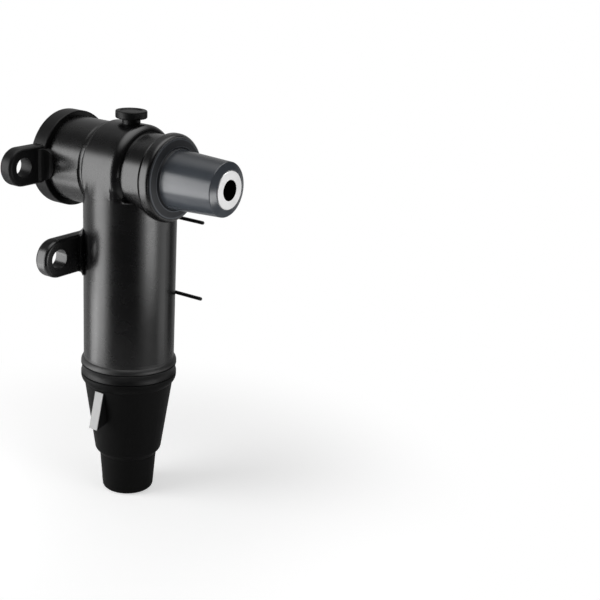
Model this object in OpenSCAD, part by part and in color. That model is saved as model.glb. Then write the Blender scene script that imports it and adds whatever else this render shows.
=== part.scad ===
// Separable tee connector for a medium-voltage cable, with a plug cone that couples it to a second tee.
// The tee axis runs along X, with the cone towards +X. The cable leg hangs along -Z.
// The origin is the mouth of the contact bore, at the centre of the cone's tip.

/* [Tee body] */
// Outside diameter of the cable leg, up at the hub
leg_d = 80.2; // [78:0.2:88]
// Outside diameter of the cable leg, down at its lip
leg_low_d = 79.4; // [77:0.2:80]
// Length of the cable leg, from the tee axis down to its lip
leg_l = 172.4; // [160:0.2:190]
// Outside diameter of the leg's flared lip
leg_lip_d = 84; // [82:0.2:90]
// Outside diameter of the hub, where the arms and the leg meet
hub_d = 80.2; // [78:0.2:88]
// Distance from the leg axis back to the hub's rear lip
hub_rear_l = 20.8; // [16:0.2:26]
// Distance from the leg axis forward to the start of the hub's shoulder
hub_front_l = 11.5; // [6:0.5:13]
// Radius of the hub's rounded rear lip
hub_edge_r = 2.8; // [1.6:0.2:3]
// Radius of the hub's rounded front shoulder
shoulder_r = 7.5; // [6:0.5:14]
// Distance from the tee axis down to the leg's shelf under the front arm
shelf_drop = 20; // [18:1:26]
// Radius of the rounded edge on that shelf
shelf_edge_r = 1.5; // [1:0.5:8]
// Outside diameter of the rear arm
rear_arm_d = 73.9; // [70:0.1:77]
// Distance from the leg axis to the rear end of the rear arm
rear_arm_l = 72.3; // [70:0.1:85]
// Outside diameter of the front arm
front_arm_d = 68.4; // [67:0.2:73]
// Distance from the leg axis to the lip on the front arm
front_arm_l = 40.4; // [38:0.2:46]
// Outside diameter of the lip on the front arm
arm_lip_d = 75; // [74:0.2:80]
// Length of the lip on the front arm
arm_lip_l = 8.6; // [8:0.2:10]
// Wall of the conductive outer jacket
jacket_wall = 4; // [3:0.25:5]

/* [Plug cone] */
// Distance from the leg axis to the tip of the plug cone
reach = 105.5; // [102:0.1:115]
// Diameter of the cone at its root
cone_root_d = 50.2; // [49:0.1:52]
// Diameter of the cone at its front edge
cone_tip_d = 46; // [44:0.1:48]
// Length of the blunt nose in front of that edge
nose_l = 3.2; // [2:0.1:4]
// Diameter of the flange face's inner edge, round the cone's root
flange_face_d = 53; // [52.6:0.1:58]
// Rise of the flange from its rim to that inner edge
flange_rise = 2.6; // [2:0.1:3]
// Length of the hollow fillet between the flange face and the cone
root_fillet_l = 4.4; // [3:0.2:6]
// Depth of the flange's seat in the arm's lip
flange_seat = 3.4; // [2:0.2:4]

/* [Contact] */
// Outside diameter of the contact sleeve
contact_d = 32; // [30:0.5:34]
// Diameter of the bore in the contact sleeve
contact_bore_d = 17; // [16.6:0.1:19]
// Depth of the bore in the contact sleeve
contact_bore_l = 64; // [55:1:66]
// Diameter of the clamping stud
stud_d = 16; // [12:0.5:16]
// Depth of the stud in the contact sleeve
stud_front_l = 33; // [25:1:33]
// Depth of the stud in the insert of the rear plug
stud_rear_l = 20; // [15:1:24]
// Radial clearance round threaded and slip-fitted pieces
fit_gap = 0.1; // [0.05:0.05:0.2]

/* [Cable lug] */
// Thickness of the lug's palm
palm_t = 10; // [8:0.5:12]
// Width of the lug's palm
palm_w = 29; // [26:0.5:30]
// Outside diameter of the lug's barrel
barrel_d = 32; // [30:0.5:33]
// Diameter of the conductor hole in the barrel
barrel_bore_d = 20; // [16:0.5:22]
// Distance from the stud axis down to the top of the barrel
barrel_drop = 26; // [24:0.5:30]
// Length of the barrel
barrel_l = 66; // [60:1:70]
// Diameter of the shear bolts
shear_bolt_d = 12; // [10:0.5:14]
// Distance between the two shear bolts
shear_bolt_pitch = 28; // [24:1:34]

/* [Inner screen] */
// Outside diameter of the screen round the palm
screen_arm_d = 48; // [46:0.5:50]
// Outside diameter of the screen round the barrel
screen_leg_d = 40; // [39:0.5:42]
// Distance from the leg axis back to the rear edge of the screen
screen_rear_l = 36; // [33:0.5:42]
// Distance from the leg axis forward to the front edge of the screen
screen_front_l = 24; // [20:0.5:28]
// Distance from the tee axis down to the lower edge of the screen
screen_leg_l = 100; // [98:1:108]
// Clearance between the lug's barrel and the screen
barrel_gap = 0.8; // [0.4:0.1:1]

/* [Rear plug and cap] */
// Diameter of the rear plug at its nose
plug_nose_d = 40; // [38:0.5:41]
// Diameter of the rear plug at its rear end
plug_rear_d = 52; // [48:0.5:54]
// Diameter of the threaded insert in the rear plug
insert_d = 22; // [20:0.5:26]
// Length of the threaded insert in the rear plug
insert_l = 30; // [28:1:34]
// Width across the flats of the plug's hexagon head
plug_hex_w = 36; // [32:1:38]
// Length of the plug's hexagon head
plug_hex_l = 12; // [8:0.5:14]
// Diameter of the voltage tap in the plug's head
tap_d = 12; // [10:0.5:14]
// Depth of the voltage tap in the plug
tap_l = 14; // [10:1:15]
// Outside diameter of the rear cap
cap_d = 83.2; // [81:0.2:90]
// Length of the rear cap's rim
cap_l = 16; // [14:0.5:20]
// Length of arm that the rear cap covers
cap_grip = 10.5; // [8:0.5:12]
// Wall of the rear cap
cap_wall = 3.5; // [3:0.25:4]
// Gap between the plug's head and the rear cap
cap_gap = 1.2; // [0.8:0.1:2]

/* [Eyes] */
// Height of both pulling eyes
eye_w = 32.6; // [30:0.2:36]
// Thickness of both pulling eyes
eye_t = 12.5; // [11:0.25:13]
// Diameter of the hole in both pulling eyes
eye_hole_d = 17; // [14:0.5:18]
// Radius of the rounded rim on both pulling eyes
eye_edge_r = 2.6; // [1.5:0.1:3]
// Distance from the tee axis to the hole in the rear cap's eye
cap_eye_y = 61.5; // [60:0.5:68]
// Length of the gusset in front of the rear cap, under its eye
gusset_l = 8.5; // [6:0.5:12]
// Distance from the leg axis to the hole in the leg's eye
leg_eye_y = 60; // [58:0.5:66]
// Distance from the leg axis back to the middle of the leg's eye
leg_eye_x = 31.2; // [29:0.2:32]
// Distance from the tee axis down to the leg's eye
leg_eye_z = 72; // [66:1:90]
// Spread of the flare where that eye grows out of the leg
eye_flare = 4; // [2:0.5:5]

/* [Test point] */
// Diameter of the test point cap's disc
test_cap_d = 26.8; // [24:0.2:32]
// Thickness of the test point cap's disc
test_cap_t = 6.6; // [5:0.2:8]
// Height of the top of the test point cap above the tee axis
test_cap_z = 50.6; // [49:0.2:55]
// Diameter of the test point cap's stem
test_stem_d = 15.4; // [13:0.2:17]
// Diameter of the test point electrode
test_electrode_d = 12; // [9:0.5:13]

/* [Cable adapter] */
// Height of the lock ring between the leg's lip and the adapter
lock_ring_h = 9.6; // [8:0.2:13]
// Depth of the lock ring's waist
waist = 0.8; // [0.4:0.1:1.2]
// Inside diameter of the adapter's nozzle and skirt
cable_bore_d = 32; // [28:0.5:34]
// Inside diameter of the adapter where it grips the cable's insulation
core_bore_d = 28; // [24:0.5:29]
// Diameter of the adapter's nose
adapter_nose_d = 48; // [46:0.5:49]
// Diameter of the adapter where it fills the leg's mouth
adapter_seat_d = 56; // [52:0.5:60]
// Radius of the rounding on the adapter's collar
collar_round = 8.5; // [8.5:0.5:12]
// Outside diameter at the top of the adapter's skirt, below the collar
skirt_top_d = 77.7; // [75:0.1:80]
// Outside diameter at the bottom of the adapter's skirt
skirt_low_d = 59.4; // [57:0.2:66]
// Length of the adapter's skirt
skirt_l = 61.4; // [58:0.5:80]
// Outside diameter at the top of the nozzle
nozzle_top_d = 50.4; // [48:0.2:54]
// Outside diameter at the bottom of the nozzle
nozzle_low_d = 45.6; // [44:0.2:48]
// Length of the nozzle
nozzle_l = 34.4; // [25:0.2:45]
// Length of the step between the skirt and the nozzle
step_l = 8.6; // [7:0.5:14]
// Length of the stress deflector inside the adapter
deflector_l = 28; // [24:1:40]

/* [Fin and pins] */
// Width of the fin on the adapter
fin_w = 8.8; // [8:0.2:12]
// Height of the fin
fin_h = 32; // [28:0.5:38]
// Distance from the leg axis to the foot of the fin
fin_foot_y = 46.6; // [44:0.2:50]
// Distance from the collar's foot down to the top of the fin
fin_drop = 1.6; // [1:0.2:6]
// Offset of the fin from the leg axis, towards the cone
fin_x = 0.8; // [0:0.1:2]
// Thickness of the plate on the fin
plate_t = 0.8; // [0.6:0.1:1.2]
// Diameter of the two screen pins
pin_d = 3.2; // [2.6:0.1:4]
// Distance from the leg axis to the screen pins
pin_y = 30; // [28:0.5:32]
// Distance from the leg axis to the tip of the screen pins
pin_tip_x = 56.8; // [52:0.2:64]
// Depth of the screen pins in the jacket
pin_seat = 5; // [3:0.5:6]
// Distance from the tee axis down to the upper screen pin
upper_pin_z = 42; // [40:0.5:50]
// Distance between the two screen pins
pin_pitch = 68.4; // [50:0.2:80]

/* [Hidden] */
$fn = 96;
eps = 0.01;
hex_r = 1 / cos(30);
leg_r = leg_d / 2;
leg_low_r = leg_low_d / 2;
lip_r = leg_lip_d / 2;
lip_round = 5.5;
seam = 0.6;
hub_r = hub_d / 2;
rear_arm_r = rear_arm_d / 2;
front_arm_r = front_arm_d / 2;
contact_r = contact_d / 2;
palm_front_x = palm_t / 2;
palm_rear_x = -palm_t / 2;
washer_t = 3;
spring_washer_t = 3.5;
nut_l = 13;
nut_w = 1.5 * stud_d;
nut_rear_x = palm_rear_x - washer_t - spring_washer_t - nut_l;
plug_nose_x = nut_rear_x - 1.5;
plug_rear_x = -rear_arm_l;
cap_front_x = plug_rear_x + cap_grip;
cap_rear_x = cap_front_x - cap_l;
head_rear_x = plug_rear_x - plug_hex_l;
head_room_r = plug_hex_w / 2 * hex_r + cap_gap;
dome_rear_x = head_rear_x - cap_gap - cap_wall;
dome_r = head_room_r + cap_wall;
cap_eye_x = (cap_front_x + cap_rear_x) / 2;
flange_x = front_arm_l + arm_lip_l;
flange_r = arm_lip_d / 2 - 3.2;
nose_r = contact_r + 0.6;
nose_edge_x = reach - nose_l;
ring_top_z = -leg_l;
ring_low_z = ring_top_z - lock_ring_h;
collar_foot_a = acos((skirt_top_d / 2 - lip_r + collar_round) / collar_round);
collar_round_z = ring_low_z - 2;
skirt_top_z = collar_round_z - collar_round * sin(collar_foot_a);
skirt_low_z = skirt_top_z - skirt_l;
nozzle_top_z = skirt_low_z - step_l;
nozzle_low_z = nozzle_top_z - nozzle_l;
neck_r = leg_low_r - jacket_wall - 0.5;
adapter_top_z = -screen_leg_l - 0.5;
core_end_z = ring_low_z - 8;
deflector_top_z = ring_top_z + deflector_l;
fin_top_z = skirt_top_z - fin_drop;
disc_low_z = test_cap_z - test_cap_t;
stem_low_z = hub_r - jacket_wall;
electrode_l = 7;
barrel_top_z = -barrel_drop;
barrel_low_z = barrel_top_z - barrel_l;
pins_z = [-upper_pin_z, -upper_pin_z - pin_pitch];
black = [0.05, 0.05, 0.055];
steel = [0.72, 0.73, 0.75];
brass = [0.78, 0.62, 0.3];

// Points along a circular arc, with both ends
function arc(c, r, a0, a1, n = 6) =
    [for (i = [0:n]) let (a = a0 + (a1 - a0) * i / n) c + r * [cos(a), sin(a)]];

// The radius of the adapter's skirt at a height
function skirt_r(z) = skirt_top_d / 2 + (skirt_top_z - z) / skirt_l * (skirt_low_d - skirt_top_d) / 2;

// The outline of a rectangle with rounded corners, from its half sizes
function rounded(w, h, r) = concat(arc([w - r, h - r], r, 0, 90, 4), arc([r - w, h - r], r, 90, 180, 4),
    arc([r - w, r - h], r, 180, 270, 4), arc([w - r, r - h], r, 270, 360, 4));

// The solids below are drawn about the leg axis, and this sets them on the contact bore's mouth
module placed() { translate([-reach, 0, 0]) children(); }

// Turns a profile of radius and height about the tee axis, with its height along X
module turned_x(points) { rotate([0, 90, 0]) rotate_extrude() polygon(points); }

// Turns a profile of radius and height about the leg axis
module turned_z(points) { rotate_extrude() polygon(points); }

// A cylinder or cone along the tee axis between two stations
module bar_x(r, x0, x1, r1 = undef) {
    translate([x0, 0, 0]) rotate([0, 90, 0]) cylinder(h = x1 - x0, r1 = r, r2 = is_undef(r1) ? r : r1);
}

// The hub with its rear lip and its rounded shoulder, inside the outer surface by a depth
module hub(depth) {
    edge = hub_edge_r;
    r = hub_r - depth;
    rs = shoulder_r - depth;
    rear_x = -hub_rear_l + depth;
    turned_x(concat([[0, rear_x]],
        depth > 0 ? [[r, rear_x]] : arc([r - edge, rear_x + edge], edge, -90, 0, 5),
        arc([r - rs, hub_front_l], rs, 0, 90, 10), [[0, hub_front_l + rs]]));
}

// The leg inside its outer surface by a depth. It is round up to the shelf under the front arm,
// and above that it ends level with the hub, with rounded corners. It may run on past the lip.
module leg(depth, run_on) {
    r = leg_r - depth;
    low_r = leg_low_r - depth;
    rs = shoulder_r - depth;
    edge = shelf_edge_r;
    top_z = -shelf_drop - depth;
    round_x = hub_front_l - 0.1;
    round_y = sqrt(pow(r - rs + 0.03, 2) - round_x * round_x);
    turn = atan2(round_y, round_x);
    side_x = round_x + rs * cos(turn);
    turned_z(concat([[0, -leg_l - run_on], [low_r, -leg_l - run_on]], run_on > 0 ? [[low_r, -leg_l]] : [],
        arc([r - edge, top_z - edge], edge, 0, 90, 5), [[0, top_z]]));
    translate([0, 0, top_z - edge]) intersection() {
        cylinder(h = edge - top_z, r = r);
        linear_extrude(edge - top_z) polygon(concat([[-2 * r, -2 * r], [side_x, -2 * r]],
            arc([round_x, -round_y], rs, -turn, 0, 8), arc([round_x, round_y], rs, 0, turn, 8),
            [[side_x, 2 * r], [-2 * r, 2 * r]]));
    }
}

// The whole tee without its lips, inside the outer surface by a depth
module tee(depth, rear_x, front_x, run_on = 0) {
    hub(depth);
    bar_x(rear_arm_r - depth, rear_x, 0);
    bar_x(front_arm_r - depth, 0, front_x);
    leg(depth, run_on);
}

// The flared lip at the foot of the leg
module leg_lip() {
    round_z = -leg_l + seam;
    a = acos((leg_low_r - lip_r + lip_round) / lip_round);
    turned_z(concat([[0, round_z + lip_round * sin(a)]],
        arc([lip_r - lip_round, round_z], lip_round, a, 0, 6), [[lip_r - seam, -leg_l], [0, -leg_l]]));
}

// The lip at the end of the front arm, which rounds off towards the flange
module arm_lip() {
    r = arm_lip_d / 2;
    back_r = 1.8;
    fall = 0.5 * arm_lip_l;
    drop = r - flange_r - 0.7;
    crown_r = (fall * fall + drop * drop) / 2 / drop;
    turned_x(concat([[0, front_arm_l]], arc([r - back_r, front_arm_l + back_r], back_r, -90, 0, 5),
        arc([r - crown_r, flange_x - fall], crown_r, 0, asin(fall / crown_r), 6), [[0, flange_x]]));
}

// A pulling eye that points to -Y, with a rounded rim, from its hole back to a root
module eye_blank(root_y) {
    e = eye_edge_r;
    h = eye_w / 2;
    t = eye_t / 2;
    turned_x(concat([[0, t]], arc([h - e, t - e], e, 90, 0, 4), arc([h - e, e - t], e, 0, -90, 4),
        [[0, -t]]));
    rotate([-90, 0, 0]) linear_extrude(root_y) polygon(rounded(t, h, e));
}

module eye_hole() { rotate([0, 90, 0]) cylinder(h = 2 * eye_t, d = eye_hole_d, center = true); }

// One slice through the flare at the root of the leg's eye, along the leg's surface
module flare_slice(off, spread) {
    slant = -asin(leg_eye_x / leg_r);
    surface_y = leg_eye_y - leg_r * cos(slant);
    translate([0, surface_y - off, 0]) rotate([0, 0, slant]) rotate([90, 0, 0]) linear_extrude(0.1)
        polygon(rounded(eye_t / 2 / cos(slant) + spread, eye_w / 2 + spread, eye_edge_r + spread / 2));
}

// The flare itself, as a run of short lofts
module flare() {
    stations = [[4.4, 0], [2.4, 0.15], [0.9, 0.45], [-0.5, 1], [-4, 1]];
    for (i = [0:len(stations) - 2]) hull() {
        flare_slice(stations[i][0], stations[i][1] * eye_flare);
        flare_slice(stations[i + 1][0], stations[i + 1][1] * eye_flare);
    }
}

// The rear plug's tapered body
module plug_cone() { bar_x(plug_rear_d / 2, plug_rear_x, plug_nose_x, plug_nose_d / 2); }

// The hollow for the lug, its fasteners and the contact sleeve
module lug_hollow() {
    bar_x(contact_r, plug_nose_x - eps, palm_front_x + eps);
    translate([0, 0, -screen_leg_l - 1]) cylinder(h = screen_leg_l + 1, r = barrel_d / 2 + barrel_gap);
}

// The outer surface of the inner screen
module screen_form() {
    bar_x(screen_arm_d / 2, -screen_rear_l, screen_front_l);
    translate([0, 0, -screen_leg_l]) cylinder(h = screen_leg_l, r = screen_leg_d / 2);
}

// The adapter's insulating nose, which fills the leg below the screen
module adapter_form() {
    translate([0, 0, ring_top_z])
        cylinder(h = adapter_top_z - ring_top_z, r1 = adapter_seat_d / 2, r2 = adapter_nose_d / 2);
}

// One screen pin with a rounded tip, from its seat to its tip
module screen_pin(z) {
    x0 = sqrt(leg_r * leg_r - pin_y * pin_y) - pin_seat;
    r = pin_d / 2;
    translate([0, pin_y, z]) turned_x(concat([[0, x0], [r, x0]], arc([0, pin_tip_x - r], r, 0, 90, 5)));
}

module outer_jacket() {
    color(black) placed() difference() {
        union() {
            tee(0, plug_rear_x, front_arm_l);
            leg_lip();
            arm_lip();
            translate([-leg_eye_x, -leg_eye_y, -leg_eye_z]) {
                eye_blank(leg_eye_y - 8);
                flare();
            }
        }
        tee(jacket_wall, plug_rear_x - eps, flange_x + 1, 1);
        bar_x(flange_r, flange_x - flange_seat, flange_x + 1);
        translate([-leg_eye_x, -leg_eye_y, -leg_eye_z]) eye_hole();
        translate([0, 0, stem_low_z - 1]) cylinder(h = 20, r = test_stem_d / 2 + fit_gap);
        for (z = pins_z) screen_pin(z);
    }
}

// The blue-grey insulation, from the rear arm to the flange and the plug cone
module insulation_body() {
    face_r = flange_face_d / 2;
    face_x = flange_x + flange_rise;
    seat_x = flange_x - flange_seat;
    groove_x = face_x - 0.9;
    cone_r = cone_tip_d / 2;
    root_r = cone_root_d / 2;
    rim_r = 1.2;
    edge = 0.6;
    color([0.27, 0.29, 0.32]) placed() difference() {
        union() {
            tee(jacket_wall, plug_rear_x, seat_x);
            turned_x(concat([[0, seat_x], [flange_r, seat_x]],
                arc([flange_r - rim_r, flange_x - 0.3], rim_r, 0, 78, 5),
                arc([face_r + edge, face_x - edge], edge, 80, 180, 5),
                [for (i = [0:6]) let (t = 15 * i)
                    [root_r + (face_r - root_r) * (1 - sin(t)), groove_x + root_fillet_l * (1 - cos(t))]],
                [[cone_r, nose_edge_x - 0.4], [cone_r - 0.4, nose_edge_x + 0.2],
                    [nose_r + 0.3, reach - 0.5], [nose_r, reach - 0.8], [0, reach - 0.8]]));
        }
        screen_form();
        lug_hollow();
        plug_cone();
        bar_x(plug_rear_d / 2, plug_rear_x - 1, plug_rear_x);
        bar_x(contact_r, 0, reach + 1);
        adapter_form();
        translate([0, 0, adapter_top_z - 0.1]) cylinder(h = 1, d = adapter_nose_d);
        translate([0, 0, -leg_l - 1]) cylinder(h = 1, r = adapter_seat_d / 2);
        translate([0, 0, stem_low_z - electrode_l]) cylinder(h = electrode_l + 10, d = test_electrode_d);
        for (z = pins_z) screen_pin(z);
    }
}

module inner_screen() {
    color([0.11, 0.11, 0.11]) placed() difference() {
        screen_form();
        lug_hollow();
        plug_cone();
        bar_x(contact_r, 0, screen_front_l + 1);
    }
}

// The silver-plated sleeve, threaded for the stud and bored for the second tee's contact
module contact_sleeve() {
    edge = 0.4;
    color([0.93, 0.93, 0.94]) placed() difference() {
        turned_x([[0, palm_front_x], [contact_r, palm_front_x], [contact_r, reach - edge],
            [contact_r - edge, reach], [0, reach]]);
        bar_x(contact_bore_d / 2, reach - contact_bore_l, reach + 1);
        bar_x(stud_d / 2 + fit_gap, palm_front_x - 1, reach);
    }
}

module cable_lug() {
    neck_h = 5;
    barrel_floor = 10;
    color([0.78, 0.78, 0.8]) placed() difference() {
        union() {
            rotate([0, 90, 0]) cylinder(h = palm_t, d = palm_w, center = true);
            translate([-palm_t / 2, -palm_w / 2, barrel_top_z - 4]) cube([palm_t, palm_w, 4 - barrel_top_z]);
            translate([0, 0, barrel_low_z]) cylinder(h = barrel_l - neck_h, d = barrel_d);
            translate([0, 0, barrel_top_z - neck_h])
                cylinder(h = neck_h, d1 = barrel_d, d2 = barrel_d - 2 * neck_h);
        }
        rotate([0, 90, 0]) cylinder(h = 2 * palm_t, r = stud_d / 2 + 0.5, center = true);
        translate([0, 0, barrel_low_z - 1]) cylinder(h = barrel_l - barrel_floor + 1, d = barrel_bore_d);
        shear_holes(fit_gap);
    }
}

// The holes for the shear bolts in the front wall of the barrel, wider than the bolts by a gap
module shear_holes(gap) {
    for (i = [0, 1]) translate([0, 0, barrel_low_z + 14 + i * shear_bolt_pitch])
        rotate([90, 0, 0]) cylinder(h = barrel_d / 2 - 1, d = shear_bolt_d + 2 * gap);
}

// The shear bolts, backed out until their tips are level with the wall of the conductor hole
module shear_bolts() {
    color(brass) placed() intersection() {
        shear_holes(0);
        translate([0, -barrel_d / 2, 0])
            cube([barrel_d, barrel_d - barrel_bore_d, 4 * barrel_l], center = true);
    }
}

module clamping_stud() {
    c = 1.5;
    r = stud_d / 2;
    x0 = plug_nose_x - stud_rear_l;
    x1 = palm_front_x + stud_front_l;
    color(steel) placed() turned_x([[0, x0], [r - c, x0], [r, x0 + c], [r, x1 - c], [r - c, x1], [0, x1]]);
}

module flat_washer() {
    x0 = palm_rear_x - washer_t;
    color(steel) placed() difference() {
        bar_x(contact_r - 1, x0, palm_rear_x);
        bar_x(stud_d / 2 + 0.4, x0 - 1, 0);
    }
}

// The split spring washer
module spring_washer() {
    x1 = palm_rear_x - washer_t;
    split = 2;
    color(steel) placed() difference() {
        bar_x(0.8 * stud_d, x1 - spring_washer_t, x1);
        bar_x(stud_d / 2 + 0.2, x1 - spring_washer_t - 1, x1 + 1);
        translate([x1 - spring_washer_t / 2, 0, stud_d]) rotate([0, 0, 20])
            cube([4 * spring_washer_t, split, 2 * stud_d], center = true);
    }
}

module stud_nut() {
    color(steel) placed() difference() {
        translate([nut_rear_x, 0, 0]) rotate([0, 90, 0]) cylinder(h = nut_l, r = nut_w / 2 * hex_r, $fn = 6);
        bar_x(stud_d / 2 + fit_gap, nut_rear_x - 1, nut_rear_x + nut_l + 1);
    }
}

// The cast-resin plug with its hexagon head
module rear_plug() {
    color([0.45, 0.3, 0.22]) placed() difference() {
        union() {
            plug_cone();
            translate([head_rear_x, 0, 0]) rotate([0, 90, 0])
                cylinder(h = plug_hex_l + eps, r = plug_hex_w / 2 * hex_r, $fn = 6);
        }
        bar_x(insert_d / 2, plug_nose_x - insert_l, plug_nose_x + 1);
        bar_x(tap_d / 2, head_rear_x - 1, head_rear_x + tap_l);
    }
}

module plug_insert() {
    color(brass) placed() difference() {
        bar_x(insert_d / 2, plug_nose_x - insert_l, plug_nose_x);
        bar_x(stud_d / 2 + fit_gap, plug_nose_x - stud_rear_l - 2, plug_nose_x + 1);
    }
}

module voltage_tap() {
    c = 0.8;
    r = tap_d / 2;
    x1 = head_rear_x + tap_l;
    color(brass) placed()
        turned_x([[0, head_rear_x], [r - c, head_rear_x], [r, head_rear_x + c], [r, x1], [0, x1]]);
}

// The rubber cap, with a shallow dome over the plug's head and an eye at its side
module rear_cap() {
    e = 2.2;
    r = cap_d / 2;
    color(black) placed() difference() {
        union() {
            turned_x(concat([[0, dome_rear_x]], arc([dome_r - e, dome_rear_x + e], e, -90, 0, 4),
                arc([dome_r + 2, cap_rear_x - 2], 2, 180, 90, 4), arc([r - e, cap_rear_x + e], e, -90, 0, 4),
                arc([r - 1, cap_front_x - 1], 1, 0, 90, 3), [[0, cap_front_x]]));
            translate([cap_eye_x, -cap_eye_y, 0]) eye_blank(cap_eye_y - 20);
            gusset();
        }
        bar_x(rear_arm_r + fit_gap, plug_rear_x, cap_front_x + 30);
        bar_x(head_room_r, head_rear_x - cap_gap, plug_rear_x + eps);
        translate([cap_eye_x, -cap_eye_y, 0]) eye_hole();
    }
}

// The gusset that runs from the cap's eye onto the arm, in front of the cap:
// a hollow curve in plan, crossed with rounded corners in height
module gusset() {
    x0 = cap_eye_x + eye_t / 2 - 4;
    x1 = cap_front_x + gusset_l;
    foot_y = -rear_arm_r - 1.2;
    sweep = x1 - x0 - 3.4;
    h = eye_w / 2 - 2.5;
    corner = 0.8 * h;
    intersection() {
        linear_extrude(2 * h, center = true) polygon(concat([[x0, foot_y + 9], [x1, foot_y + 9]],
            arc([x1, foot_y - sweep], sweep, 90, 180, 8), [[x0, foot_y - sweep]]));
        rotate([90, 0, 0]) linear_extrude(2 * cap_d) polygon(concat([[x0, -h]],
            arc([x1 - corner, corner - h], corner, -90, 0, 5),
            arc([x1 - corner, h - corner], corner, 0, 90, 5), [[x0, h]]));
    }
}

module test_electrode() {
    color(brass) placed() translate([0, 0, stem_low_z - electrode_l])
        cylinder(h = electrode_l, d = test_electrode_d);
}

// The rubber cap over the test point: a disc with a shallow recess, on a stem
module test_point_cap() {
    r = test_cap_d / 2;
    e = 1.2;
    neck = test_stem_d / 2;
    recess = 0.8;
    color(black) placed() turned_z(concat([[0, stem_low_z], [neck, stem_low_z]],
        arc([neck + e, disc_low_z - e], e, 180, 90, 3), arc([r - e, disc_low_z + e], e, -90, 0, 3),
        arc([r - e, test_cap_z - e], e, 0, 90, 3),
        [[r - 3.6, test_cap_z], [r - 3.6 - recess, test_cap_z - recess], [0, test_cap_z - recess]]));
}

// The ring round the adapter's neck, with a slight waist and with a fine gap round each end
module lock_ring() {
    relief = 0.4;
    seat_r = lip_r - 2;
    side_h = lock_ring_h - 2 * seam - 2 * relief;
    color(black) placed() difference() {
        turned_z(concat([[0, ring_top_z], [seat_r, ring_top_z], [seat_r, ring_top_z - relief],
            [lip_r - seam, ring_top_z - relief]],
            [for (i = [0:6]) [lip_r - waist * sin(30 * i), ring_top_z - relief - seam - side_h * i / 6]],
            [[lip_r - seam, ring_low_z + relief], [seat_r, ring_low_z + relief], [seat_r, ring_low_z],
                [0, ring_low_z]]));
        translate([0, 0, ring_low_z - 1]) cylinder(h = lock_ring_h + 2, r = neck_r + fit_gap);
    }
}

// The deflector's outer curve, from its lip down to the adapter's seat
function deflector_curve() =
    let (r0 = core_bore_d / 2 + 1.6, r1 = adapter_seat_d / 2 - 3.5, turn = 90 / 8)
    [for (i = [0:8])
        [r0 + (r1 - r0) * (1 - cos(turn * i)), deflector_top_z - (deflector_l - 2) * sin(turn * i)]];

// The conductive part of the adapter: deflector, neck, collar, skirt with its fin, step and nozzle
module adapter_body() {
    mouth_round = 4;
    corner = 5;
    hollow = 1.5;
    step_turn = 128;
    color(black) placed() difference() {
        union() {
            turned_z(concat([[0, deflector_top_z]], deflector_curve(),
                [[adapter_seat_d / 2 - 3.5, ring_top_z], [neck_r, ring_top_z], [neck_r, ring_low_z],
                    [lip_r - seam, ring_low_z], [lip_r, ring_low_z - seam]],
                arc([lip_r - collar_round, collar_round_z], collar_round, 0, -collar_foot_a, 6),
                arc([skirt_low_d / 2 - corner, skirt_low_z - 1], corner, 0, -52, 4),
                arc([nozzle_top_d / 2 + hollow, nozzle_top_z], hollow, step_turn, 180, 3),
                arc([nozzle_low_d / 2 - mouth_round, nozzle_low_z + mouth_round], mouth_round, 0, -90, 5),
                [[0, nozzle_low_z]]));
            fin();
        }
        translate([0, 0, nozzle_low_z - 1]) cylinder(h = core_end_z - nozzle_low_z + 1, d = cable_bore_d);
        translate([0, 0, nozzle_low_z]) cylinder(h = -nozzle_low_z, d = core_bore_d);
    }
}

// The fin on the skirt: its face leans out towards its foot, and its foot is square to that face
module fin() {
    low_z = fin_top_z - fin_h;
    top_y = skirt_r(fin_top_z);
    low_y = skirt_r(low_z);
    foot_rise = (fin_foot_y - low_y) * (fin_foot_y - top_y) / fin_h;
    translate([fin_x - fin_w / 2, 0, 0]) rotate([90, 0, 90]) linear_extrude(fin_w)
        polygon([[4 - top_y, fin_top_z], [-top_y, fin_top_z], [-fin_foot_y, low_z],
            [-low_y, low_z + foot_rise], [4 - low_y, low_z + foot_rise]]);
}

module fin_plate() {
    top_y = skirt_r(fin_top_z);
    lean = atan2(fin_foot_y - top_y, fin_h);
    plate_h = fin_h / cos(lean);
    color([0.74, 0.74, 0.74]) placed()
        translate([fin_x - fin_w / 2, -top_y, fin_top_z]) rotate([-lean, 0, 0])
            translate([0, -plate_t, -plate_h]) cube([fin_w, plate_t, plate_h]);
}

module adapter_insulation() {
    color([0.3, 0.3, 0.32]) placed() difference() {
        adapter_form();
        translate([0, 0, ring_top_z - 1]) cylinder(h = adapter_top_z - ring_top_z + 2, d = core_bore_d);
        turned_z(concat([[0, deflector_top_z]], deflector_curve(),
            [[adapter_seat_d / 2 - 3.5, ring_top_z - 1], [0, ring_top_z - 1]]));
    }
}

module upper_screen_pin() { color(black) placed() screen_pin(pins_z[0]); }
module lower_screen_pin() { color(black) placed() screen_pin(pins_z[1]); }

outer_jacket();
insulation_body();
inner_screen();
contact_sleeve();
cable_lug();
shear_bolts();
clamping_stud();
flat_washer();
spring_washer();
stud_nut();
rear_plug();
plug_insert();
voltage_tap();
rear_cap();
test_electrode();
test_point_cap();
lock_ring();
adapter_body();
adapter_insulation();
fin_plate();
upper_screen_pin();
lower_screen_pin();
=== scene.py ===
# %% [markdown]
# # A separable tee connector, dressed for its portrait
# The object is a screened tee connector for a medium-voltage cable. Its body is a black rubber tee. A
# blue-grey plug cone sticks out of the front arm and a rubber cap closes the rear arm. The leg hangs down
# and ends in a tapered adapter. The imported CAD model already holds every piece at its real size. This
# lesson loads it, sets up a camera and a small studio, gives each piece its finish, and adds the soft
# moulded details that the solids leave out.

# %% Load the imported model
import math
import bpy
import bmesh
import numpy as np
from mathutils import Matrix, Vector


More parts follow.
